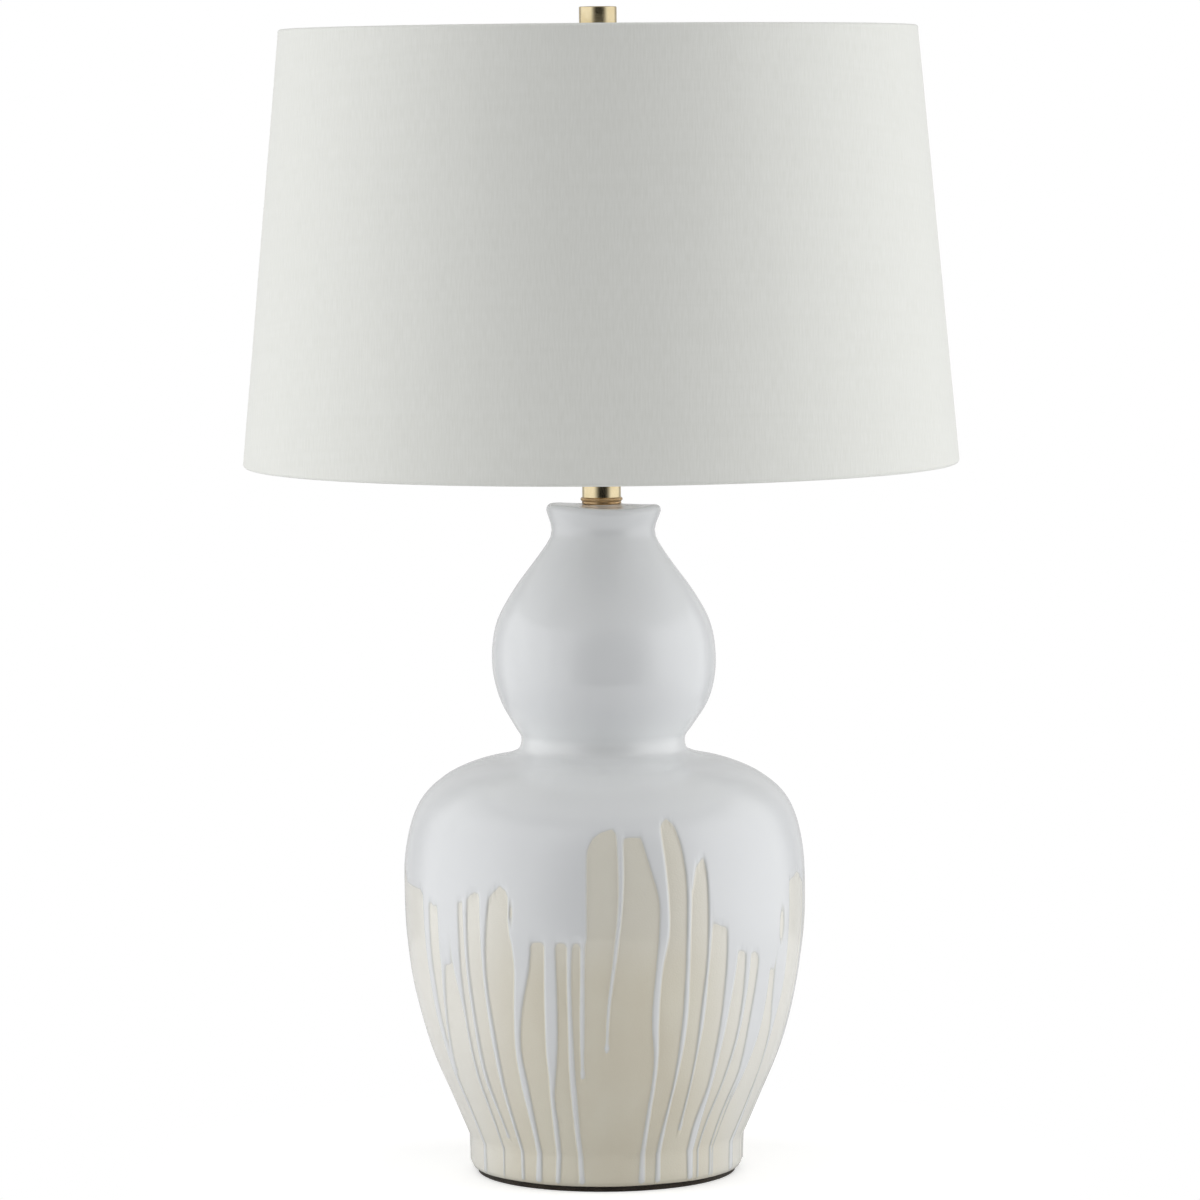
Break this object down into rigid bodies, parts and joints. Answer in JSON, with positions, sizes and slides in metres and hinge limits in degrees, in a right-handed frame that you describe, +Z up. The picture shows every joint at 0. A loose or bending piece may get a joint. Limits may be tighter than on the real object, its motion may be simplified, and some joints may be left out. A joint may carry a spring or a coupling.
{
  "type": "double gourd table lamp",
  "caption": "Table lamp: a double gourd of drip-glazed ceramic, a brass neck, a switched lamp holder with a bulb, a wire harp and a fabric drum shade under a brass finial.",
  "frame": {"origin": "centre of the felt pad's underside, on the table", "axes": "+Z up along the lamp's axis; -Y is the front, where the switch knob points; +Y is the back, where the cord inlet is; +X is right seen from the front"},
  "size_m": [0.4826, 0.4826, 0.7891],
  "materials": {
    "glazed_ceramic": "gloss white drip glaze over bare cream clay",
    "felt": "matte dark brown felt",
    "satin_brass": "satin antique brass",
    "socket_brass": "satin brass sheet",
    "plated_steel": "satin plated steel wire and stampings",
    "gasket_rubber": "matte black",
    "bushing_plastic": "matte black",
    "insulating_card": "matte card",
    "moulded_black": "moulded, half gloss",
    "thin_aluminium": "bright rolled sheet",
    "solder": "dull solder",
    "black_glass": "opaque black glass",
    "frosted_glass": "white frosted inside",
    "clear_glass": "clear",
    "filament_wire": "dark drawn wire",
    "shade_fabric": "plain woven white linen",
    "shade_lining": "smooth white sheet"
  },
  "bodies": {
    "base": {"ceramic_body": "glazed_ceramic", "felt_pad": "felt", "base_plate": "plated_steel", "base_gasket": "gasket_rubber", "lock_washer": "plated_steel", "pipe_nut": "plated_steel", "lamp_pipe": "plated_steel", "cord_bushing": "bushing_plastic", "neck_ring": "satin_brass", "neck_tube": "satin_brass", "neck_cap": "satin_brass", "harp_saddle": "plated_steel", "socket_cap": "socket_brass", "socket_set_screw": "plated_steel", "socket_shell": "socket_brass", "insulating_sleeve": "insulating_card", "socket_body": "moulded_black", "terminal_screws": "socket_brass", "screw_shell": "thin_aluminium", "centre_contact": "socket_brass"},
    "knob": {"switch_knob": "moulded_black", "switch_spindle": "plated_steel"},
    "harp": {"harp_bow": "plated_steel"},
    "sleeve_left": {"harp_sleeve_left": "plated_steel"},
    "sleeve_right": {"harp_sleeve_right": "plated_steel"},
    "swivel": {"harp_swivel": "plated_steel"},
    "shade": {"shade_cover": "shade_fabric", "shade_liner": "shade_lining", "spider_hub": "plated_steel", "spider_arm_1": "plated_steel", "spider_arm_2": "plated_steel", "spider_arm_3": "plated_steel", "shade_top_wire": "plated_steel", "shade_top_trim": "shade_fabric", "shade_bottom_wire": "plated_steel", "shade_bottom_trim": "shade_fabric"},
    "finial_collar": {"finial_collar": "satin_brass"},
    "finial": {"finial_knob": "satin_brass"},
    "bulb_tip": {"bulb_tip": "solder"},
    "bulb": {"bulb_insulator": "black_glass", "bulb_cap": "thin_aluminium", "bulb_glass": "frosted_glass", "bulb_stem": "clear_glass", "bulb_filament": "filament_wire"}
  },
  "joints": [
    {"name": "switch_turn", "type": "hinge", "parent": "base", "child": "knob", "pos_m": [0, 0, 0.5098], "axis": [0, -1, 0], "continuous": true},
    {"name": "harp_lift", "type": "slide", "parent": "base", "child": "harp", "axis": [0, 0, 1], "range_m": [0, 0.022]},
    {"name": "sleeve_left_slide", "type": "slide", "parent": "harp", "child": "sleeve_left", "axis": [0, 0, 1], "range_m": [0, 0.01]},
    {"name": "sleeve_right_slide", "type": "slide", "parent": "harp", "child": "sleeve_right", "axis": [0, 0, 1], "range_m": [0, 0.01]},
    {"name": "swivel_turn", "type": "hinge", "parent": "harp", "child": "swivel", "pos_m": [0, 0, 0.765], "axis": [0, 0, 1], "continuous": true},
    {"name": "shade_lift", "type": "slide", "parent": "swivel", "child": "shade", "axis": [0, 0, 1], "range_m": [0, 0.3]},
    {"name": "finial_rise", "type": "slide", "parent": "shade", "child": "finial_collar", "axis": [0, 0, 1], "range_m": [0, 0.0104]},
    {"name": "finial_turn", "type": "hinge", "parent": "finial_collar", "child": "finial", "pos_m": [0, 0, 0.7706], "axis": [0, 0, 1], "range_deg": [0, 3960]},
    {"name": "bulb_rise", "type": "slide", "parent": "base", "child": "bulb_tip", "axis": [0, 0, 1], "range_m": [0, 0.0164]},
    {"name": "bulb_turn", "type": "hinge", "parent": "bulb_tip", "child": "bulb", "pos_m": [0, 0, 0.5163], "axis": [0, 0, 1], "range_deg": [0, 1620]}
  ],
  "couplings": [
    {"joint": "finial_rise", "follows": "finial_turn", "m_per_rad": 0.00014972},
    {"joint": "bulb_rise", "follows": "bulb_turn", "m_per_rad": 0.00057751}
  ]
}
